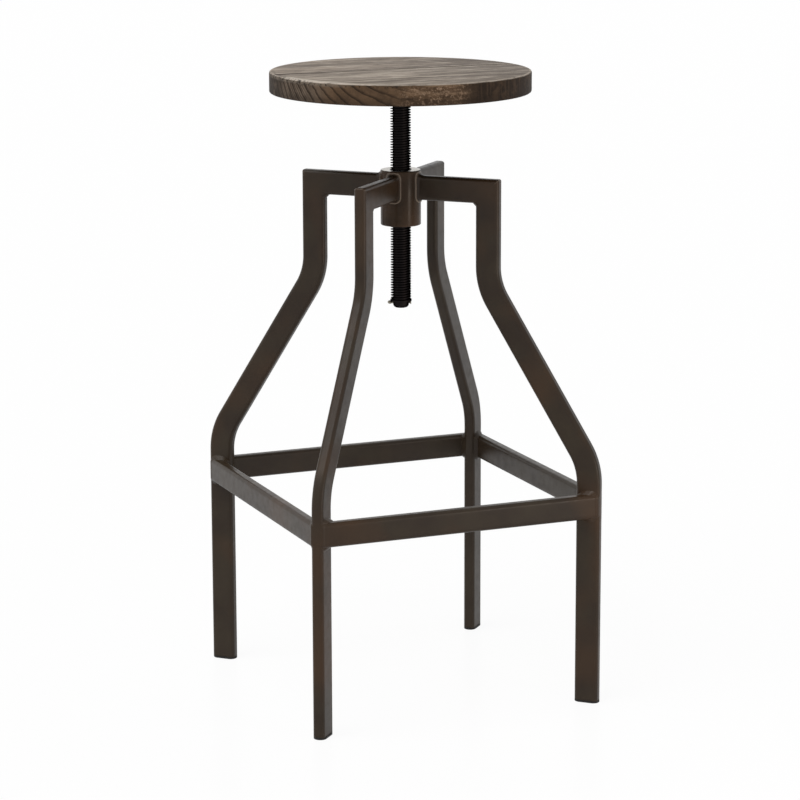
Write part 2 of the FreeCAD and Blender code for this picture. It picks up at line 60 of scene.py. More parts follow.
def add(tree, kind, inputs=None, take=None, **settings):
    """Adds a node with its settings, fills its named inputs with values or links, and gives an output."""
    made = tree.nodes.new("ShaderNode" + kind)
    for name, value in settings.items():
        setattr(made, name, value)
    for name, value in (inputs or {}).items():
        socket = next(s for s in made.inputs if name in (s.identifier, s.name))
        if isinstance(value, bpy.types.NodeSocket):
            tree.links.new(value, socket)
        else:
            socket.default_value = value
    return next((s for s in made.outputs if s.enabled and take in (None, s.name)), None)


def new_material(name):
    """A bare material's node tree, and the Object coordinates that its patterns read."""
    material = bpy.data.materials.new(name)
    material.use_nodes = True
    tree = material.node_tree
    tree.nodes.clear()
    return material, tree, add(tree, "TexCoord", take="Object")


def bronze_lacquer(name, colours, gloss_level, rough, lumps):
    """Satin bronze-brown lacquer sprayed on steel: nearly black-brown and faintly cloudy seen square on,
    olive grey at a low angle, where the lacquer's own gloss covers its colour, and paler on the crests of the
    welds, where a painted highlight is laid over it."""
    material, tree, place = new_material(name)
    cloud = add(tree, "TexNoise", {"Vector": place, "Scale": 1 / (45 * MM), "Detail": 3.0})
    patch = add(tree, "TexNoise", {"Vector": place, "Scale": 1 / (110 * MM), "Detail": 2.0})
    colour = linear(colours[0])
    # Cloud and patch are the lacquer's own tone; the last layer is a painted highlight along the weld crests,
    # read from the mesh's attribute.
    for share, overlay in (
            (add(tree, "MapRange", {"Value": cloud, "From Min": 0.38, "From Max": 0.64}), colours[1]),
            (add(tree, "MapRange", {"Value": patch, "From Min": 0.5, "From Max": 0.68}), colours[2]),
            (add(tree, "Attribute", take="Fac", attribute_name="painted_crest_highlight"), "#75675a")):
        colour = add(tree, "Mix", {
            "Factor_Float": share,
            "A_Color": colour,
            "B_Color": linear(overlay),
        }, data_type="RGBA")
    mist = add(tree, "TexNoise", {"Vector": place, "Scale": 1 / (9 * MM), "Detail": 4.0})
    gloss = add(tree, "MapRange", {
        "Value": mist, "From Min": 0.3, "From Max": 0.7, "To Min": rough[0], "To Max": rough[1]})
    ripple = add(tree, "TexNoise", {"Vector": place, "Scale": 1 / lumps[0], "Detail": 2.0})
    bump = add(tree, "Bump", {"Height": ripple, "Strength": 1.0, "Distance": lumps[1]})
    shader = add(tree, "BsdfPrincipled", {
        "Base Color": colour,
        "Roughness": gloss,
        "IOR": 1.5,
        "Specular IOR Level": gloss_level,
        "Normal": bump,
    })
    add(tree, "OutputMaterial", {"Surface": shader})
    return material


def new_piece(name, shape, body, material, sharp=35):
    """Makes the finished shape an object that rides on its body; edges over sharp degrees stay crisp."""
    mesh = bpy.data.meshes.new(name)
    shape.to_mesh(mesh)
    shape.free()
    mesh.shade_smooth()
    mesh.set_sharp_from_angle(angle=radians(sharp))
    mesh.materials.append(material)
    made = bpy.data.objects.new(name, mesh)
    bpy.context.scene.collection.objects.link(made)
    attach(made, body)
    return made


def outline(shape, points):
    """A closed loop of edges through a few points."""
    corners = [shape.verts.new(p) for p in points]
    return corners + [shape.edges.new((a, b)) for a, b in zip(corners, corners[1:] + corners[:1])]


def spin_round(shape, geometry, steps):
    """Turns a section right round the stool's upright axis and closes the seam."""
    bmesh.ops.spin(
        shape, geom=geometry, cent=(0, 0, 0), axis=(0, 0, 1), dvec=(0, 0, 0),
        angle=2 * pi, steps=steps, use_merge=True, use_duplicate=False)
    bmesh.ops.remove_doubles(shape, verts=shape.verts[:], dist=SAME_CORNER)
    bmesh.ops.recalc_face_normals(shape, faces=shape.faces[:])


# Bare turned steel: bright grey with fine rings left by the tool, so it mirrors the pale room.
bare_steel, tree, place = new_material("mild_steel_faced_on_the_lathe")
rings = add(tree, "TexWave", {
    "Vector": place, "Scale": ONE_WAVE / (0.5 * MM), "Distortion": 1.0,
}, wave_type="RINGS", rings_direction="Z")
overlay = add(tree, "TexNoise", {"Vector": place, "Scale": 1 / (5 * MM), "Detail": 3.0})
colour = add(tree, "Mix", {
    "Factor_Float": overlay,
    "A_Color": linear("#cfccc6"),
    "B_Color": linear("#b3aea5"),
}, data_type="RGBA")
bump = add(tree, "Bump", {"Height": rings, "Distance": 0.01 * MM})
shader = add(tree, "BsdfPrincipled", {
    "Base Color": colour, "Metallic": 1.0, "Roughness": 0.3, "Normal": bump})
add(tree, "OutputMaterial", {"Surface": shader})

hub_lacquer = bronze_lacquer(
    "bronze_lacquer_on_turned_bar", colours=("#2e2319", "#433326", "#4a3728"),
    gloss_level=0.1, rough=(0.2, 0.3), lumps=(3 * MM, 0.012 * MM))
shape = bmesh.new()
wall = outline(shape, [
    (HUB_BORE, 0, HUB_TOP - HUB_LENGTH),
    (HUB_RADIUS, 0, HUB_TOP - HUB_LENGTH),
    (HUB_RADIUS, 0, HUB_TOP),
    (HUB_BORE, 0, HUB_TOP),
])
spin_round(shape, wall, HUB_STEPS)
rims = [e for e in shape.edges if abs(e.verts[0].co.z - e.verts[1].co.z) < SAME_LEVEL
        and abs(e.verts[0].co.xy.length - e.verts[1].co.xy.length) < SAME_LEVEL]
bmesh.ops.bevel(
    shape, geom=rims, offset=HUB_ROUND, offset_type="OFFSET", affect="EDGES",
    segments=4, profile=0.5, material=-1)
for face in shape.faces:
    bare = face.normal.z > 0.9 and face.calc_center_median().z > HUB_TOP - 0.2 * MM
    face.material_index = 1 if bare else 0
hub = new_piece("turned_hub", shape, "frame", hub_lacquer)
hub.data.materials.append(bare_steel)
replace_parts(hub, "hub_collar")

# Arms: straight lengths of flat steel tube with well rounded corners, coped to the hub, sawn at
# 45 degrees at the outer end and lacquered with the rest of the frame.
TUBE_DEPTH = 28.5 * MM
TUBE_THICKNESS = 14.0 * MM
TUBE_CORNER = 4.5 * MM
ARM_HEIGHT = 597.3 * MM
UPPER_RADIUS = 109.3 * MM
MITRE_ROUND = 2.4 * MM
MITRE_TURN = radians(45)
MITRE_STEPS = 4
LOOP_STEPS = 96
FLAT_CUTS = 8
CORNERS = {"front_left": 225, "front_right": 315, "back_right": 45, "back_left": 135}
TUBE_BROWNS = ("#2a2017", "#31281d", "#3b2a1b")
frame_lacquer = bronze_lacquer(
    "bronze_lacquer_on_tube", TUBE_BROWNS,
    gloss_level=0.2, rough=(0.28, 0.4), lumps=(3 * MM, 0.012 * MM))


def tube_loop(shape, grow):
    """Edges of a loop round the tube's outline, grown by a little, standing across X at the origin."""
    before = len(shape.verts)
    ring = bmesh.ops.create_circle(
        shape, cap_ends=False, segments=LOOP_STEPS, radius=TUBE_CORNER + grow)["verts"]
    bmesh.ops.rotate(shape, verts=ring, cent=(0, 0, 0), matrix=Matrix.Rotation(pi / LOOP_STEPS, 3, "Z"))
    bmesh.ops.rotate(shape, verts=ring, cent=(0, 0, 0), matrix=Matrix.Rotation(radians(90), 3, "Y"))
    for across in (1, -1):
        for up in (1, -1):
            bmesh.ops.translate(
                shape, verts=[v for v in ring if v.co.y * across > 0 and v.co.z * up > 0],
                vec=(0, across * (TUBE_THICKNESS / 2 - TUBE_CORNER), up * (TUBE_DEPTH / 2 - TUBE_CORNER)))
    flats = [e for v in ring for e in v.link_edges if e.verts[0] == v and e.calc_length() > 2 * MM]
    bmesh.ops.subdivide_edges(shape, edges=flats, cuts=FLAT_CUTS)
    return list(dict.fromkeys(e for v in shape.verts[:][before:] for e in v.link_edges))


def drawn_out(shape, loop):
    """Draws a loop of edges out into a tube's wall; gives the new loop's edges and vertices."""
    grown = bmesh.ops.extrude_edge_only(shape, edges=loop)["geom"]
    corners = [v for v in grown if isinstance(v, bmesh.types.BMVert)]
    return [e for e in grown if isinstance(e, bmesh.types.BMEdge) and e.is_boundary], corners


def mitre_place(corner, turn):
    """Where a point of the tube's outline lies at the mitre; the outer edge is ground round through turn."""
    ground = max(MITRE_ROUND - TUBE_DEPTH / 2 + corner.z, 0)
    return (
        UPPER_RADIUS + corner.z - ground * (1 - sin(turn)),
        corner.y,
        ARM_HEIGHT + corner.z - ground * (1 - cos(turn)))


def frame_tube(name, node, shape, bearing):
    """Closes a tube's ends, turns it to its place about the stool's axis and stands it for its node."""
    bmesh.ops.remove_doubles(shape, verts=shape.verts[:], dist=SAME_CORNER)
    bmesh.ops.holes_fill(shape, edges=[e for e in shape.edges if e.is_boundary], sides=0)
    bmesh.ops.recalc_face_normals(shape, faces=shape.faces[:])
    bmesh.ops.rotate(
        shape, verts=shape.verts[:], cent=(0, 0, 0), matrix=Matrix.Rotation(radians(bearing), 3, "Z"))
    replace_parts(new_piece(name, shape, "frame", frame_lacquer), node)


for corner, bearing in CORNERS.items():
    shape = bmesh.new()
    loop = tube_loop(shape, 0)
    coped = shape.verts[:]
    bands = []
    for step in range(MITRE_STEPS + 1):
        loop, corners = drawn_out(shape, loop)
        bands.append((MITRE_TURN * step / MITRE_STEPS, corners))
    for v in coped:
        v.co = (sqrt(HUB_RADIUS ** 2 - v.co.y ** 2), v.co.y, ARM_HEIGHT + v.co.z)
    for turn, band in bands:
        for v in band:
            v.co = mitre_place(v.co, turn)
    frame_tube("mitred_arm_" + corner, "arm_" + corner, shape, bearing)

# Legs: the same tube, mitred to the arms, cold bent outwards and back to upright round a former, and
# sawn square at the foot.
FOOT_RADIUS = 235.1 * MM
UPPER_BEND = 488.2 * MM
LOWER_BEND = 284.7 * MM
BEND_RADIUS = 75.0 * MM
LEG_LOW = 2.6 * MM
BEND_STEPS = 16
slant = Vector((FOOT_RADIUS - UPPER_RADIUS, 0, LOWER_BEND - UPPER_BEND))
lean = atan(-slant.x / slant.z)
easing = BEND_RADIUS * tan(lean / 2)
slope = slant * (1 - 2 * easing / slant.length)
shin = Vector((0, 0, LEG_LOW - LOWER_BEND + easing))
bends = (
    ((UPPER_RADIUS + BEND_RADIUS, 0, UPPER_BEND + easing), -lean, slope),
    ((FOOT_RADIUS - BEND_RADIUS, 0, LOWER_BEND - easing), lean, shin))
for corner, bearing in CORNERS.items():
    shape = bmesh.new()
    loop = tube_loop(shape, 0)
    bands = [(MITRE_TURN, shape.verts[:])]
    for step in range(1, MITRE_STEPS + 1):
        loop, corners = drawn_out(shape, loop)
        bands.append((MITRE_TURN * (1 + step / MITRE_STEPS), corners))
    loop, corners = drawn_out(shape, loop)
    for v in corners:
        v.co = (UPPER_RADIUS + v.co.z, v.co.y, UPPER_BEND + easing)
    for turn, band in bands:
        for v in band:
            v.co = mitre_place(v.co, turn)
    for centre, turn, straight in bends:
        bent = bmesh.ops.spin(
            shape, geom=corners + loop, cent=centre, axis=(0, 1, 0), dvec=(0, 0, 0), angle=turn,
            steps=BEND_STEPS, use_merge=False, use_duplicate=False)["geom_last"]
        loop, corners = drawn_out(shape, [e for e in bent if isinstance(e, bmesh.types.BMEdge)])
        bmesh.ops.translate(shape, verts=corners, vec=straight)
    frame_tube("bent_leg_" + corner, "leg_" + corner, shape, bearing)

# Footrest bars: four lengths of the same tube, set on edge between neighbouring legs, their ends sawn
# at 45 degrees and butted against the legs' broad sides.
BAR_DISTANCE = 173.31 * MM
BAR_HEIGHT = 237.7 * MM
for side, bearing in (("back", 0), ("left", 90), ("front", 180), ("right", 270)):
    shape = bmesh.new()
    loop = tube_loop(shape, 0)
    first = shape.verts[:]
    loop, last = drawn_out(shape, loop)
    for corners, way in ((first, -1), (last, 1)):
        for v in corners:
            out = BAR_DISTANCE + v.co.y
            v.co = (way * (out - TUBE_THICKNESS / sqrt(2)), out, BAR_HEIGHT + v.co.z)
    frame_tube("sawn_footrest_bar_" + side, "footrest_bar_" + side, shape, bearing)

# Welds round the arms at the hub: one fillet run round each arm's end, whose outer toe stands up
# as a rounded ridge on the hub and whose top fills the corner up to the hub's rim. Each row of the
# run's section gives mm out from the tube, mm along it from the hub, and how strongly a painted highlight
# pales the lacquer.
HUB_RUN = (
    (-0.6, -0.9, 0.0), (3.0, -0.7, 0.0), (2.9, 0.4, 0.1), (2.6, 1.2, 0.6), (2.1, 1.6, 1.0), (1.6, 1.4, 0.5),
    (1.2, 1.0, 0.1), (0.9, 1.1, 0.0), (0.6, 1.7, 0.0), (0.3, 2.7, 0.0), (-0.1, 4.3, 0.0), (-0.6, 4.0, 0.0))
RIDGE_SIDE = 1.4
TOP_GAIN = 0.75
LOW_GAIN = 0.2
BEAD_LUMP = 0.22 * MM
BEAD_LENGTH = 3.5 * MM
WELD_SHARP = 80


def bridge_round(shape, loops, both_sides=False):
    """Skins a ring of loops into one closed run, then repeats it at the frame's four corners."""
    for a, b in zip(loops, loops[1:] + loops[:1]):
        bmesh.ops.bridge_loops(shape, edges=a + b)
    if both_sides:
        other = bmesh.ops.duplicate(shape, geom=shape.verts[:] + shape.edges[:] + shape.faces[:])["geom"]
        bmesh.ops.scale(shape, verts=[v for v in other if isinstance(v, bmesh.types.BMVert)], vec=(1, -1, 1))
    bmesh.ops.recalc_face_normals(shape, faces=shape.faces[:])
    bmesh.ops.rotate(shape, verts=shape.verts[:], cent=(0, 0, 0), matrix=Matrix.Rotation(radians(45), 3, "Z"))
    bmesh.ops.spin(
        shape, geom=shape.verts[:] + shape.edges[:] + shape.faces[:], cent=(0, 0, 0), axis=(0, 0, 1),
        dvec=(0, 0, 0), angle=radians(270), steps=3, use_merge=False, use_duplicate=True)


def roughen(shape, lump, length):
    """Moves a bead's surface in and out in soft lumps of about the given length."""
    shape.normal_update()
    for v in shape.verts:
        v.co += v.normal * lump * noise.noise(v.co / length)


weld_lacquer = bronze_lacquer(
    "bronze_lacquer_over_weld_beads", TUBE_BROWNS,
    gloss_level=0.2, rough=(0.28, 0.4), lumps=(2.2 * MM, 0.06 * MM))
shape = bmesh.new()
painted_crest_highlight = shape.verts.layers.float.new("painted_crest_highlight")
loops = []
# Each loop carries its row's painted highlight, strongest on the ridge's top.
for out, along, pale in HUB_RUN:
    loop = tube_loop(shape, out * MM)
    for v in {v for e in loop for v in e.verts}:
        high = min(max(v.co.z / (TUBE_DEPTH / 2), 0), 1) ** 4
        low = min(max(-v.co.z / (TUBE_DEPTH / 2), 0), 1) ** 4
        lift = along * MM * (1 - TOP_GAIN * high if out > RIDGE_SIDE else 1 + TOP_GAIN * high)
        v.co.x = sqrt(HUB_RADIUS ** 2 - v.co.y ** 2) + lift
        v.co.z += ARM_HEIGHT + out * MM * (TOP_GAIN * high - LOW_GAIN * low)
        v.co.z = min(v.co.z, HUB_TOP - HUB_ROUND)
        v[painted_crest_highlight] = pale
    loops.append(loop)
bridge_round(shape, loops)
roughen(shape, BEAD_LUMP, BEAD_LENGTH)
runs = new_piece("hub_weld_runs", shape, "frame", weld_lacquer, WELD_SHARP)
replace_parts(runs, "hub_weld_beads")

# Seams of the mitred corners: arm and leg are butt welded all round, and the bead is ground away on
# the broad sides, so that only a faint rounded line is left under the lacquer at the corner's outside.
# The rows are as for the hub's run, along the outside of the corner; the painted highlight lies only on the
# corner's outer side.
SEAM_LUMP = 0.05 * MM
SEAM_LENGTH = 3 * MM
SEAM_RUN = ((-0.5, -1.1, 0.0), (-0.1, -0.6, 0.3), (0.05, 0.0, 0.7), (-0.1, 0.6, 0.3), (-0.5, 1.1, 0.0))
shape = bmesh.new()
painted_crest_highlight = shape.verts.layers.float.new("painted_crest_highlight")
loops = []
for out, along, pale in SEAM_RUN:
    loop = tube_loop(shape, out * MM)
    for v in {v for e in loop for v in e.verts}:
        step = along * MM / sqrt(2)
        # A painted highlight along the seam, fading to none off the corner's outer side.
        v[painted_crest_highlight] = pale * min(max(v.co.z / (TUBE_DEPTH / 2), 0), 1) ** 3
        v.co = Vector(mitre_place(v.co, MITRE_TURN)) + Vector((step, 0, -step))
    loops.append(loop)
bridge_round(shape, loops)
roughen(shape, SEAM_LUMP, SEAM_LENGTH)
new_piece("mitre_weld_seams", shape, "frame", weld_lacquer, WELD_SHARP)

# Fillet welds round the ends of the footrest bars: hollow fillets inside, above and below, filled and
# ground smooth outside, where the bars' outer sides run on to the legs' rounded fronts.
FILLET = 4.0 * MM
INNER_LOSS = 0.3
half = TUBE_THICKNESS / 2
flat_across = half - TUBE_CORNER
flat_up = TUBE_DEPTH / 2 - TUBE_CORNER


def grown_end(shape, out, share):
    """A loop round a bar's end, grown out by mm and by a share of the fillet, which is smaller inside and
    none outside. Gives its edges, and for each vertex its height, its fillet and where it meets the leg."""
    loop = tube_loop(shape, 0)
    placed = []
    for v in {v for e in loop for v in e.verts}:
        flat_y = max(min(v.co.y, flat_across), -flat_across)
        flat_z = max(min(v.co.z, flat_up), -flat_up)
        way = Vector((0, v.co.y - flat_y, v.co.z - flat_z)).normalized()
        fillet = FILLET * (1 - max(way.y, 0)) * (1 + INNER_LOSS * min(way.y, 0))
        spread = v.co + way * (out * MM + share * fillet)
        meets = sqrt(2) * (BAR_DISTANCE + spread.y) - half - FOOT_RADIUS
        placed.append((v, BAR_HEIGHT + spread.z, fillet, meets))
    return loop, placed


shape = bmesh.new()
loops = []

# On the bar: mm out from it, share of the fillet, then mm along it and share of the fillet.
for out, share, along, along_share in (
        (-0.5, 0.0, 3.5, 1.0),
        (0.03, 0.0, 3.0, 1.0),
        (0.08, 0.05, 1.5, 0.7),
        (0.12, 0.18, 0.5, 0.42),
        (0.1, 0.42, 0.0, 0.16)):
    loop, placed = grown_end(shape, out, share)
    for v, height, fillet, meets in placed:
        run = (along * MM + along_share * fillet) / sqrt(2)
        v.co = (FOOT_RADIUS + meets - run, half + run, height)
    loops.append(loop)

# On the leg, whose rounded corners it follows: mm out from the bar, share of the fillet and mm off the leg.
for out, share, proud in ((0.3, 1.0, 0.03), (0.8, 1.0, -0.5)):
    loop, placed = grown_end(shape, out, share)
    for v, height, fillet, meets in placed:
        turn = 2 * atan(max(abs(meets) - flat_up, 0) / TUBE_CORNER)
        reach = min(abs(meets), flat_up) + (TUBE_CORNER + proud * MM) * sin(turn)
        v.co = (
            FOOT_RADIUS + (reach if meets > 0 else -reach),
            flat_across + (TUBE_CORNER + proud * MM) * cos(turn),
            height)
    loops.append(loop)
bridge_round(shape, loops, both_sides=True)
runs = new_piece("footrest_weld_runs", shape, "frame", frame_lacquer, WELD_SHARP)
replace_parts(runs, "footrest_weld_beads")

# Welds inside the arm corners: one short run in each corner under the mitre, laid by hand and left
# as it was, so its edges melt softly into arm and leg.
BEAD_GRAIN = 0.6 * MM
SETTLED_LENGTH = 4 * MM


def settled_bead(name, lump, rounds):
    """A CAD weld bead with its edges melted soft and its surface left slightly lumpy."""
    source = bpy.data.objects.new(name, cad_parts[name].data.copy())
    bpy.context.scene.collection.objects.link(source)
    remesh = source.modifiers.new("grain", "REMESH")
    remesh.mode = "VOXEL"
    remesh.voxel_size = BEAD_GRAIN
    even = source.modifiers.new("even", "SMOOTH")
    even.factor = 0.5
    even.iterations = rounds
    bpy.context.view_layer.update()
    settled = bpy.data.meshes.new_from_object(
        source.evaluated_get(bpy.context.evaluated_depsgraph_get()))
    bpy.data.objects.remove(source)
    shape = bmesh.new()
    shape.from_mesh(settled)
    roughen(shape, lump, SETTLED_LENGTH)
    return shape


shape = settled_bead("corner_weld_beads", lump=0.15 * MM, rounds=6)
runs = new_piece("corner_weld_runs", shape, "frame", weld_lacquer, WELD_SHARP)
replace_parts(runs, "corner_weld_beads")

# Foot caps: moulded black polyethylene caps with a plug each, pressed into the lower ends of the legs,
# so that only a thin black sole shows under the tube.

# Moulded polyethylene: a soft black with a fine grain, scuffed grey in patches.
black_plastic, tree, place = new_material("black_polyethylene_moulded")
grain = add(tree, "TexNoise", {"Vector": place, "Scale": 1 / (1.2 * MM), "Detail": 3.0})
scuff = add(tree, "TexNoise", {"Vector": place, "Scale": 1 / (8 * MM), "Detail": 3.0})
scuffed = add(tree, "MapRange", {"Value": scuff, "From Min": 0.5, "From Max": 0.75})
colour = add(tree, "Mix", {
    "Factor_Float": scuffed,
    "A_Color": linear("#141312"),
    "B_Color": linear("#262422"),
}, data_type="RGBA")
bump = add(tree, "Bump", {"Height": grain, "Distance": 0.04 * MM})
shader = add(tree, "BsdfPrincipled", {
    "Base Color": colour,
    "Roughness": 0.55,
    "IOR": 1.5,
    "Specular IOR Level": 0.25,
    "Normal": bump,
})
add(tree, "OutputMaterial", {"Surface": shader})
for name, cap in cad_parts.items():
    if name.startswith("foot_cap_"):
        cap.material_slots[0].material = black_plastic

# The lead screw: coarse threaded rod, rolled and blacked, welded into the plate under the seat.
# Its lower end is turned down plain and rounded, and drilled for the split pin.
PITCH = 3.0 * MM
CREST = 11.95 * MM
ROOT = 9.2 * MM
CREST_FLAT = 0.55 * MM
ROOT_FLAT = 1.25 * MM
THREAD_LOW = 464.1 * MM
THREAD_HIGH = 708.0 * MM
TIP_RADIUS = 9.25 * MM
TIP_LOW = 454.5 * MM
TIP_ROUND = 4.0 * MM
TURN_STEPS = 40
TIP_STEPS = 64
THREAD_SHARP = 25


def black_oxide(name, patch, rough_low, rough_high):
    """Steel blacked in a hot bath and oiled: black with a dull grey sheen, patchy where the oil has dried."""
    material, tree, place = new_material(name)
    oil = add(tree, "TexNoise", {"Vector": place, "Scale": 1 / patch, "Detail": 3.0})
    colour = add(tree, "Mix", {
        "Factor_Float": oil,
        "A_Color": linear("#161414"),
        "B_Color": linear("#232020"),
    }, data_type="RGBA")
    gloss = add(tree, "MapRange", {
        "Value": oil, "From Min": 0.3, "From Max": 0.7, "To Min": rough_low, "To Max": rough_high})
    grain = add(tree, "TexNoise", {"Vector": place, "Scale": 1 / (0.8 * MM), "Detail": 2.0})
    bump = add(tree, "Bump", {"Height": grain, "Distance": 0.015 * MM})
    shader = add(tree, "BsdfPrincipled", {
        "Base Color": colour,
        "Metallic": 1.0,
        "Roughness": gloss,
        "Specular Tint": linear("#606060"),
        "Normal": bump,
    })
    add(tree, "OutputMaterial", {"Surface": shader})
    return material


black_thread = black_oxide("black_oxide_on_rolled_thread", 6 * MM, 0.38, 0.55)
shape = bmesh.new()
flank = (PITCH - CREST_FLAT - ROOT_FLAT) / 2
low = THREAD_LOW - 1.5 * PITCH  # begins below the cut, so that no thread end shows
tooth = [shape.verts.new(p) for p in (
    (ROOT, 0, low),
    (ROOT, 0, low + ROOT_FLAT),
    (CREST, 0, low + ROOT_FLAT + flank),
    (CREST, 0, low + PITCH - flank),
    (ROOT, 0, low + PITCH),
)]
tooth += [shape.edges.new((a, b)) for a, b in zip(tooth, tooth[1:])]
bmesh.ops.spin(
    shape, geom=tooth, cent=(0, 0, 0), axis=(0, 0, 1), dvec=(0, 0, PITCH / TURN_STEPS),
    angle=2 * pi, steps=TURN_STEPS, use_merge=False, use_duplicate=False)
turns = 1
while turns * PITCH < THREAD_HIGH - low:
    more = bmesh.ops.duplicate(shape, geom=shape.verts[:] + shape.edges[:] + shape.faces[:])["geom"]
    bmesh.ops.translate(
        shape, verts=[v for v in more if isinstance(v, bmesh.types.BMVert)], vec=(0, 0, turns * PITCH))
    turns *= 2
bmesh.ops.remove_doubles(shape, verts=shape.verts[:], dist=2 * SAME_CORNER)
for level, side in ((THREAD_LOW, -1), (THREAD_HIGH, 1)):
    bmesh.ops.bisect_plane(
        shape, geom=shape.verts[:] + shape.edges[:] + shape.faces[:], dist=SAME_CORNER,
        plane_co=(0, 0, level), plane_no=(0, 0, side), clear_outer=True)
    rim = [e for e in shape.edges if e.is_boundary and abs(e.verts[0].co.z - level) < SAME_LEVEL]
    bmesh.ops.triangle_fill(shape, edges=rim, use_beauty=True)
tip = [shape.verts.new(p) for p in (
    (0, 0, TIP_LOW), (TIP_RADIUS, 0, TIP_LOW), (TIP_RADIUS, 0, THREAD_LOW), (0, 0, THREAD_LOW))]
tip += [shape.edges.new((a, b)) for a, b in zip(tip, tip[1:])]
spin_round(shape, tip, TIP_STEPS)
rim = [e for e in shape.edges if all(
    abs(v.co.z - TIP_LOW) < SAME_LEVEL and abs(v.co.xy.length - TIP_RADIUS) < SAME_LEVEL for v in e.verts)]
bmesh.ops.bevel(
    shape, geom=rim, offset=TIP_ROUND, offset_type="OFFSET", affect="EDGES",
    segments=6, profile=0.5, material=-1)
bmesh.ops.recalc_face_normals(shape, faces=shape.faces[:])
screw = new_piece("rolled_lead_screw", shape, "seat", black_thread, THREAD_SHARP)
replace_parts(screw, "lead_screw")

# Stop washer: a plain ring punched from steel sheet and blacked, loose on the screw's end above the
# split pin, where it meets the hub when the seat is wound right up.
black_sheet = black_oxide("black_oxide_on_punched_sheet", 4 * MM, 0.42, 0.6)
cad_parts["stop_washer"].material_slots[0].material = black_sheet

# Split pin: half-round wire folded into an eye, pushed through the screw's end, with its two tails
# bent apart behind. Both halves lie flat to flat in the hole.
PIN_HEIGHT = 460.5 * MM
PIN_TURN = 157.4
PIN_REACH = 10.95 * MM
WIRE = 1.55 * MM
WIRE_STEPS = 24
HALF_GAP = 0.04 * MM
EYE_BORE = 1.2 * MM
EYE_STEPS = 32
EYE_ROLL = -15
TAIL_BEND = 85
TAIL_ROUND = 1.0 * MM
TAIL = 3.2 * MM
TAIL_STEPS = 8

# Zinc plate with a yellowish passivate: a dull grey-gold metal, blotchy where it has tarnished.
zinc, tree, place = new_material("yellow_zinc_plated_steel")
tarnish = add(tree, "TexNoise", {"Vector": place, "Scale": 1 / (1.6 * MM), "Detail": 3.0})
colour = add(tree, "Mix", {
    "Factor_Float": tarnish,
    "A_Color": linear("#6b6455"),
    "B_Color": linear("#8f8b80"),
}, data_type="RGBA")
gloss = add(tree, "MapRange", {"Value": tarnish, "To Min": 0.34, "To Max": 0.5})
shader = add(tree, "BsdfPrincipled", {
    "Base Color": colour, "Metallic": 1.0, "Roughness": gloss})
add(tree, "OutputMaterial", {"Surface": shader})


def half_round(shape, turn, flat_at, flat_side):
    """A half disc of wire: a disc stood up by turn, cut along its flat."""
    before = len(shape.verts)
    disc = bmesh.ops.create_circle(
        shape, cap_ends=True, cap_tris=False, segments=WIRE_STEPS, radius=WIRE)["verts"]
    bmesh.ops.rotate(shape, verts=disc, cent=(0, 0, 0), matrix=turn)
    face = disc[0].link_faces[0]
    bmesh.ops.bisect_plane(
        shape, geom=disc + list(face.edges) + [face], dist=SAME_CORNER,
        plane_co=flat_at, plane_no=flat_side, clear_inner=True)
    corners = shape.verts[:][before:]
    return corners, corners[0].link_faces[0]


shape = bmesh.new()
stand_across = Matrix.Rotation(radians(90), 3, "Y")
stand_along = Matrix.Rotation(radians(90), 3, "X")
corners, face = half_round(shape, stand_along, (0, 0, 0), (1, 0, 0))
bmesh.ops.translate(shape, verts=corners, vec=(EYE_BORE, 0, 0))
spin_round(shape, corners + list(face.edges) + [face], EYE_STEPS)
bmesh.ops.rotate(
    shape, verts=shape.verts[:], cent=(0, 0, 0), matrix=Matrix.Rotation(radians(EYE_ROLL), 3, "X"))
bmesh.ops.translate(shape, verts=shape.verts[:], vec=(PIN_REACH + EYE_BORE + WIRE / 2, 0, 0))
for way in (1, -1):
    corners, face = half_round(shape, stand_across, (0, way * HALF_GAP, 0), (0, way, 0))
    bmesh.ops.translate(shape, verts=corners, vec=(PIN_REACH + WIRE / 2, 0, 0))
    grown = bmesh.ops.extrude_face_region(shape, geom=[face])["geom"]
    bmesh.ops.translate(
        shape, verts=[v for v in grown if isinstance(v, bmesh.types.BMVert)],
        vec=(-2 * PIN_REACH + TAIL_ROUND, 0, 0))
    centre = (WIRE / 2 - PIN_REACH + TAIL_ROUND, way * (WIRE + TAIL_ROUND), 0)
    turned = bmesh.ops.spin(
        shape, geom=grown, cent=centre, axis=(0, 0, 1), dvec=(0, 0, 0),
        angle=-way * radians(TAIL_BEND), steps=TAIL_STEPS, use_merge=False, use_duplicate=False)
    end = [f for f in turned["geom_last"] if isinstance(f, bmesh.types.BMFace)]
    grown = bmesh.ops.extrude_face_region(shape, geom=end)["geom"]
    bmesh.ops.translate(
        shape, verts=[v for v in grown if isinstance(v, bmesh.types.BMVert)],
        vec=Matrix.Rotation(-way * radians(TAIL_BEND), 3, "Z") @ Vector((-TAIL, 0, 0)))
bmesh.ops.recalc_face_normals(shape, faces=shape.faces[:])
bmesh.ops.rotate(
    shape, verts=shape.verts[:], cent=(0, 0, 0), matrix=Matrix.Rotation(radians(PIN_TURN), 3, "Z"))
bmesh.ops.translate(shape, verts=shape.verts[:], vec=(0, 0, PIN_HEIGHT))
pin = new_piece("folded_split_pin", shape, "seat", zinc)
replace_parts(pin, "split_pin")

# Mounting plate and its weld to the screw: a round of hot-rolled plate under the seat, drilled and
# countersunk, with one thick fillet run round the screw, and all blacked together.
black_plate = black_oxide("black_oxide_on_hot_rolled_plate", 18 * MM, 0.45, 0.65)
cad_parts["mounting_plate"].material_slots[0].material = black_plate
shape = settled_bead("screw_weld_bead", lump=0.25 * MM, rounds=4)
run = new_piece("screw_weld_run", shape, "seat", black_plate, WELD_SHARP)
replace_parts(run, "screw_weld_bead")

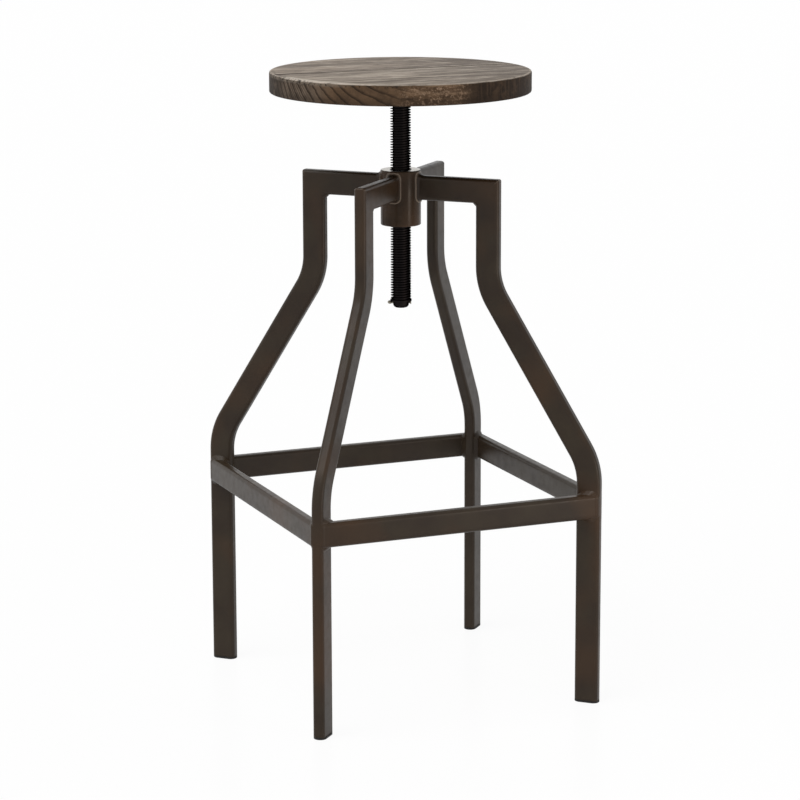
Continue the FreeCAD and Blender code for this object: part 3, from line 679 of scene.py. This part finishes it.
# Wood screws: four countersunk screws with cross recesses, driven up through the plate into the
# boards, heads flush with the plate's underside.
PLATE_LOW = 702.0 * MM
SCREW_CIRCLE = 55.0 * MM
HEAD = 4.5 * MM
HEAD_STEPS = 48
SHANK = 2.25 * MM
HEAD_DEPTH = 2.25 * MM
SHANK_TOP = 16.0 * MM
POINT = 20.0 * MM
SLOT = 0.5 * MM
CROSS = 2.3 * MM
RECESS = 1.5 * MM
shape = bmesh.new()
bmesh.ops.create_circle(shape, cap_ends=False, segments=HEAD_STEPS, radius=HEAD)
rim = shape.edges[:]
arms = [
    (SLOT, SLOT), (SLOT, CROSS), (-SLOT, CROSS), (-SLOT, SLOT), (-CROSS, SLOT), (-CROSS, -SLOT),
    (-SLOT, -SLOT), (-SLOT, -CROSS), (SLOT, -CROSS), (SLOT, -SLOT), (CROSS, -SLOT), (CROSS, SLOT)]
cross = [e for e in outline(shape, [(x, y, 0) for x, y in arms]) if isinstance(e, bmesh.types.BMEdge)]
bmesh.ops.triangle_fill(shape, edges=rim + cross, use_beauty=True)
recess = ((RECESS, 0.5),)
shaft = ((HEAD_DEPTH, SHANK / HEAD), (SHANK_TOP - HEAD_DEPTH, 1.0), (POINT - SHANK_TOP, 0.05))
for edges, stages in ((cross, recess), (rim, shaft)):
    for rise, narrow in stages:
        edges, corners = drawn_out(shape, edges)
        bmesh.ops.scale(shape, verts=corners, vec=(narrow, narrow, 1))
        bmesh.ops.translate(shape, verts=corners, vec=(0, 0, rise))
    bmesh.ops.edgeloop_fill(shape, edges=edges)
bmesh.ops.recalc_face_normals(shape, faces=shape.faces[:])
bmesh.ops.translate(
    shape, verts=shape.verts[:], vec=(SCREW_CIRCLE / sqrt(2), SCREW_CIRCLE / sqrt(2), PLATE_LOW))
bmesh.ops.spin(
    shape, geom=shape.verts[:] + shape.edges[:] + shape.faces[:], cent=(0, 0, 0), axis=(0, 0, 1),
    dvec=(0, 0, 0), angle=radians(270), steps=3, use_merge=False, use_duplicate=True)
screws = new_piece("cross_head_wood_screws", shape, "seat", zinc)
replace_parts(screws, "wood_screws")

# The seat: two boards of a coarse softwood glued edge to edge and turned round, the top bleached
# grey-brown with use and the rim stained darker, with worn and nicked edges; painted shade darkens the top to
# the right and the rim to the right and towards its foot.
SEAT_RADIUS = 151.5 * MM
SEAT_LOW = 708.0 * MM
SEAT_HIGH = 732.0 * MM
JOINT_Y = 13.0 * MM
RIM_ROUND = 2.0 * MM
SEAT_STEPS = 480
RING_GAP = 8.5 * MM


def layered_stains_and_shade(tree, colour, layers):
    """Lays stains and painted shade over a colour, each as a pattern passes softly from one level to another,
    up to a share.
    """
    for pattern, low, high, most, overlay in layers:
        share = add(tree, "MapRange", {
            "Value": pattern, "From Min": low, "From Max": high, "To Max": most,
        }, interpolation_type="SMOOTHSTEP")
        colour = add(tree, "Mix", {
            "Factor_Float": share, "A_Color": colour, "B_Color": linear(overlay),
        }, data_type="RGBA")
    return colour


def seat_timber(name, pith_y, pith_z, pale):
    """Weathered softwood, planed and oiled: taupe with fine pale and dark streaks along the grain on top,
    brown at the rim, where the growth rings round a pith along X come out as dark slanting lines. Painted
    shade darkens the top and rim towards the right and the rim towards its foot."""
    material, tree, place = new_material(name)
    x, y, z = (add(tree, "SeparateXYZ", {"Vector": place}, take=axis) for axis in "XYZ")
    log = add(tree, "Mapping", {"Vector": place, "Location": (0, -pith_y, -pith_z), "Scale": (0.06, 1, 1)})
    rings = add(tree, "TexWave", {
        "Vector": log, "Scale": ONE_WAVE / RING_GAP, "Distortion": 4.0, "Detail": 4.0,
        "Detail Scale": 0.8, "Detail Roughness": 0.6,
    }, wave_type="RINGS", rings_direction="X", wave_profile="SAW")
    fine_rings = add(tree, "TexWave", {
        "Vector": log, "Scale": ONE_WAVE / (RING_GAP / 3), "Distortion": 5.0, "Detail": 3.0,
        "Detail Scale": 0.5,
    }, wave_type="RINGS", rings_direction="X", wave_profile="SAW")
    grain = add(tree, "Mapping", {"Vector": place, "Scale": (0.045, 1, 1)})
    short_grain = add(tree, "Mapping", {"Vector": place, "Location": (0.3, 0.2, 0.1), "Scale": (0.05, 1, 1)})
    upright = add(tree, "Mapping", {"Vector": place, "Scale": (1, 1, 0.06)})
    streaks = add(tree, "TexNoise", {
        "Vector": grain, "Scale": 1 / (16 * MM), "Detail": 5.0, "Roughness": 0.65})
    lines = add(tree, "TexNoise", {
        "Vector": short_grain, "Scale": 1 / (5 * MM), "Detail": 3.0, "Roughness": 0.6, "Distortion": 0.3})
    fibres = add(tree, "TexNoise", {
        "Vector": grain, "Scale": 1 / (3.5 * MM), "Detail": 3.0, "Roughness": 0.65})
    pores = add(tree, "TexNoise", {
        "Vector": add(tree, "Mapping", {"Vector": place, "Scale": (0.06, 1, 1)}),
        "Scale": 1 / (3 * MM), "Detail": 1.0})
    dashes = add(tree, "TexNoise", {
        "Vector": add(tree, "Mapping", {"Vector": place, "Location": (0.1, 0.4, 0.2), "Scale": (0.28, 1, 1)}),
        "Scale": 1 / (8 * MM), "Detail": 3.0, "Roughness": 0.65})
    blotch = add(tree, "TexNoise", {
        "Vector": place, "Scale": 1 / (24 * MM), "Detail": 5.0, "Roughness": 0.68})
    speck = add(tree, "TexNoise", {
        "Vector": place, "Scale": 1 / (3 * MM), "Detail": 4.0, "Roughness": 0.7})
    saw = add(tree, "TexNoise", {"Vector": upright, "Scale": 1 / (3 * MM), "Detail": 2.0})
    out = add(tree, "VectorMath", {
        "Vector": add(tree, "Mapping", {"Vector": place, "Scale": (1, 1, 0)}),
    }, take="Value", operation="LENGTH")

    # Where things lie on the seat: each is a soft step in one coordinate, up to a share or another place.
    where = {}
    for key, value, low, high, most in (
            ("left", x, -20 * MM, -90 * MM, 0.85),
            ("left, worn", x, -100 * MM, -125 * MM, 0.5),
            ("left of middle", x, 0, -40 * MM, 0.9),
            ("far left", x, -130 * MM, -142 * MM, 0.85),
            ("left end", y, -75 * MM, -50 * MM, "far left"),
            ("left corner", y, -25 * MM, 5 * MM, "far left"),
            ("not left", x, -90 * MM, -55 * MM, 0.5),
            ("not right", x, 32 * MM, 0, 0.58),
            ("torn", x, -72 * MM, -42 * MM, "not right"),
            ("right", x, 20 * MM, 45 * MM, 0.22),
            ("far right", x, 105 * MM, 130 * MM, 0.28),
            ("outer", out, SEAT_RADIUS - 14 * MM, SEAT_RADIUS - 5 * MM, 0.75),
            ("outer left", x, -85 * MM, -125 * MM, "outer"),
            ("front left", y, -5 * MM, -25 * MM, "outer left"),
            ("under the edge", z, SEAT_HIGH - 5 * MM, SEAT_HIGH - 2.5 * MM, "left of middle"),
            ("left edge", out, SEAT_RADIUS - 8 * MM, SEAT_RADIUS - 5 * MM, "far left"),
            ("under the left edge", z, SEAT_HIGH - 7 * MM, SEAT_HIGH - 3 * MM, "left edge"),
            ("on the edge", z, SEAT_HIGH - 1.2 * MM, SEAT_HIGH, 0.6),
            ("edge", out, SEAT_RADIUS - 3.5 * MM, SEAT_RADIUS - 2 * MM, "on the edge"),
            ("not past the joint", y, JOINT_Y, JOINT_Y - 1 * MM, 0.65),
            ("before the joint", y, JOINT_Y - 7 * MM, JOINT_Y - 3 * MM, "not past the joint"),
            ("not far behind", y, JOINT_Y + 3.5 * MM, JOINT_Y + 2 * MM, 0.45),
            ("behind the joint", y, JOINT_Y - 0.5 * MM, JOINT_Y, "not far behind"),
            ("near the gap", y, JOINT_Y + 4 * MM, JOINT_Y + 2.5 * MM, 0.9),
            ("gap", y, JOINT_Y - 0.5 * MM, JOINT_Y, "near the gap")):
        where[key] = add(tree, "MapRange", {
            "Value": value, "From Min": low, "From Max": high, "To Max": where.get(most, most),
        }, interpolation_type="SMOOTHSTEP")

    # The top: pale and dark streaks of every length along the grain, bleached at the front left, darkened
    # towards the right by painted shade, with the glue joint as a pale line that opens to a dark gap at the
    # left.
    top = layered_stains_and_shade(tree, linear("#6a6056"), (
        (streaks, 0.36, 0.64, 0.9, pale),
        (fibres, 0.42, 0.6, 0.35, "#5a5047"),
        (fibres, 0.42, 0.28, 0.3, "#bfb3a5"),
        # Painted shade: the top darkens towards the right, away from the light.
        (x, -40 * MM, 150 * MM, 0.65, "#4b423a"),
        (lines, 0.53, 0.64, 0.7, "#493f37"),
        (lines, 0.45, 0.35, 0.6, "#c9bdaf"),
        (dashes, 0.52, 0.68, 0.5, "#3f362f"),
        (dashes, 0.46, 0.32, 0.38, "#cabfb1"),
        (pores, 0.55, 0.68, 0.45, "#443b33"),
        (pores, 0.45, 0.32, 0.3, "#c9bdaf"),
        (rings, 0.6, 0.97, 0.15, "#5c5147"),
        (blotch, 0.3, 0.5, where["front left"], "#d6cbbd"),
        (x, -100 * MM, -70 * MM, where["before the joint"], "#c8bcae"),
        (x, -70 * MM, -110 * MM, where["gap"], "#332a23"),
        (speck, 0.42, 0.62, where["behind the joint"], "#463c33")))

    # The rim: end grain with rings at the left, torn paler grain in the middle, sawn dark wood at the right,
    # darkened further there and towards the foot by painted shade, and dark nicks in a band of painted shadow
    # under the top edge.
    rim = layered_stains_and_shade(tree, linear("#685a4d"), (
        (x, -142 * MM, -118 * MM, 1.0, "#5b4735"),
        # Darker to the right: partly the sawn wood's own tone, partly painted shade.
        (x, -12 * MM, 38 * MM, 1.0, "#2b2119"),
        (blotch, 0.42, 0.66, 0.45, "#31261d"),
        (fibres, 0.45, 0.66, where["not left"], "#1f1711"),
        (streaks, 0.46, 0.62, where["torn"], "#8f765f"),
        (speck, 0.52, 0.64, where["torn"], "#a28871"),
        (speck, 0.46, 0.34, where["torn"], "#261c14"),
        (saw, 0.52, 0.66, where["right"], "#5c4a3b"),
        (blotch, 0.5, 0.62, where["right"], "#66503d"),
        (fine_rings, 0.5, 0.9, where["left end"], "#2b221a"),
        (blotch, 0.36, 0.5, where["left corner"], "#30271f"),
        (rings, 0.58, 0.96, where["left"], "#20170f"),
        (rings, 0.74, 0.97, where["far right"], "#6a5d52"),
        # Painted shade: darker towards the foot of the rim.
        (z, SEAT_LOW + 14 * MM, SEAT_LOW + 1 * MM, 0.4, "#1b140e"),
        (z, SEAT_HIGH - 5.5 * MM, SEAT_HIGH - 2.5 * MM, where["left, worn"], "#7f7468"),
        # Dark nicks, laid in a band of painted shadow under the top edge.
        (speck, 0.55, 0.62, where["under the edge"], "#1d1611")))
    colour = add(tree, "Mix", {
        "Factor_Float": add(tree, "MapRange", {
            "Value": z, "From Min": SEAT_HIGH - 1.5 * MM, "From Max": SEAT_HIGH - 0.4 * MM}),
        "A_Color": rim,
        "B_Color": top,
    }, data_type="RGBA")
    colour = layered_stains_and_shade(tree, colour, (
        (blotch, 0.36, 0.56, where["edge"], "#c3b7a9"),
        (speck, 0.48, 0.58, where["under the left edge"], "#1d1611")))
    bump = add(tree, "Bump", {"Height": fibres, "Distance": 0.3 * MM})
    shader = add(tree, "BsdfPrincipled", {
        "Base Color": colour, "Roughness": 0.65, "IOR": 1.45, "Specular IOR Level": 0.12, "Normal": bump})
    add(tree, "OutputMaterial", {"Surface": shader})
    return material


for board, keep, pith_y, pith_z, pale in (
        ("seat_board_front", 1, -216 * MM, 839 * MM, "#b0a496"),
        ("seat_board_back", -1, 70 * MM, 668 * MM, "#ab9d8e")):
    shape = bmesh.new()
    bmesh.ops.create_circle(shape, cap_ends=True, cap_tris=False, segments=SEAT_STEPS, radius=SEAT_RADIUS)
    bmesh.ops.translate(shape, verts=shape.verts[:], vec=(0, 0, SEAT_LOW))
    grown = bmesh.ops.extrude_face_region(shape, geom=shape.faces[:])
    bmesh.ops.translate(
        shape, verts=[v for v in grown["geom"] if isinstance(v, bmesh.types.BMVert)],
        vec=(0, 0, SEAT_HIGH - SEAT_LOW))
    bmesh.ops.bisect_plane(
        shape, geom=shape.verts[:] + shape.edges[:] + shape.faces[:], dist=SAME_CORNER,
        plane_co=(0, JOINT_Y, 0), plane_no=(0, keep, 0), clear_outer=True)
    bmesh.ops.holes_fill(shape, edges=[e for e in shape.edges if e.is_boundary], sides=0)
    bmesh.ops.recalc_face_normals(shape, faces=shape.faces[:])
    rim = [e for e in shape.edges if abs(e.verts[0].co.z - e.verts[1].co.z) < SAME_LEVEL
           and min(v.co.xy.length for v in e.verts) > SEAT_RADIUS - 0.5 * MM]
    bmesh.ops.bevel(
        shape, geom=rim, offset=RIM_ROUND, offset_type="OFFSET", affect="EDGES",
        segments=4, profile=0.5, material=-1)
    timber = seat_timber(board.replace("seat_board", "weathered_pine_oiled"), pith_y, pith_z, pale)
    made = new_piece(board.replace("seat_board", "turned_board"), shape, "seat", timber)
    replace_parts(made, board)

# The floor: a wide sheet of white paper, lit until it is nearly as white as the surround, so that the
# stool's shadow is only faint on it.
FLOOR_HALF = 40.0
FLOOR_WHITE = 0.92


def shows_surround(tree):
    """1 for rays that see the white surround, from the camera, a gloss or a clear piece, and else 0."""
    shown = add(tree, "LightPath", take="Is Camera Ray")
    for ray in ("Is Glossy Ray", "Is Transmission Ray"):
        shown = add(tree, "Math", {
            "Value": shown, "Value_001": add(tree, "LightPath", take=ray)}, operation="MAXIMUM")
    return shown


# White paper: bright and even, with a dull sheen.
white_paper, tree, place = new_material("white_paper_sweep")
paper = add(tree, "BsdfPrincipled", {
    "Base Color": linear("#fafafa"), "Roughness": 0.25, "Specular IOR Level": 0.3})
white = add(tree, "Emission", {"Color": linear("#ffffff"), "Strength": 1.0})
share = add(tree, "Math", {"Value": shows_surround(tree), "Value_001": FLOOR_WHITE}, operation="MULTIPLY")
mixed = add(tree, "MixShader", {"Fac": share, "Shader": paper, "Shader_001": white})
add(tree, "OutputMaterial", {"Surface": mixed})
shape = bmesh.new()
bmesh.ops.create_grid(shape, x_segments=1, y_segments=1, size=FLOOR_HALF)
mesh = bpy.data.meshes.new("floor")
shape.to_mesh(mesh)
shape.free()
mesh.materials.append(white_paper)
floor = bpy.data.objects.new("floor", mesh)
bpy.context.scene.collection.objects.link(floor)

# The studio: a white room that lights the stool softly from all round, one large soft light overhead, a
# weaker one from the left and a small warm one low on the right.
ROOM_LIGHT = 0.4
LOW_PLACE = Vector((0.73, -1.43, 0.3))
LOW_AIM = Vector((0, 0, 0.5))
world = bpy.data.worlds.new("studio")
bpy.context.scene.world = world
world.use_nodes = True
tree = world.node_tree
tree.nodes.clear()
room = add(tree, "Background", {"Color": linear("#ffffff"), "Strength": ROOM_LIGHT})
white = add(tree, "Background", {"Color": linear("#ffffff"), "Strength": 1.0})
mixed = add(tree, "MixShader", {"Fac": shows_surround(tree), "Shader": room, "Shader_001": white})
add(tree, "OutputWorld", {"Surface": mixed})
for name, bearing, height, spread, strength in (
        ("overhead_softbox", 205, 62, 45, 1.7), ("left_softbox", 170, 25, 50, 0.3)):
    lamp = bpy.data.lights.new(name, "SUN")
    lamp.angle = radians(spread)
    lamp.energy = strength
    held = bpy.data.objects.new(name, lamp)
    held.rotation_euler = (0, radians(90 - height), radians(bearing))
    bpy.context.scene.collection.objects.link(held)
lamp = bpy.data.lights.new("low_softbox", "AREA")
lamp.shape = "RECTANGLE"
lamp.size = 0.25
lamp.size_y = 0.5
lamp.energy = 4.0
lamp.color = linear("#ffeedd")[:3]
held = bpy.data.objects.new("low_softbox", lamp)
held.location = LOW_PLACE
held.rotation_euler = (LOW_AIM - LOW_PLACE).to_track_quat("-Z", "Y").to_euler()
bpy.context.scene.collection.objects.link(held)

# The camera: it stands some three and a half metres off, a little to the left of the front and above
# the seat, with a long lens, so that near and far legs look almost alike in size.
view = bpy.data.cameras.new("camera")
view.sensor_width = 36.0
view.lens = 137.861
camera = bpy.data.objects.new("camera", view)
camera.location = (-1.3565, -3.2612, 1.1128)
camera.rotation_euler = (radians(77.704), radians(0.147), radians(-22.593))
bpy.context.scene.collection.objects.link(camera)
bpy.context.scene.camera = camera
bpy.context.scene.view_settings.view_transform = "Standard"
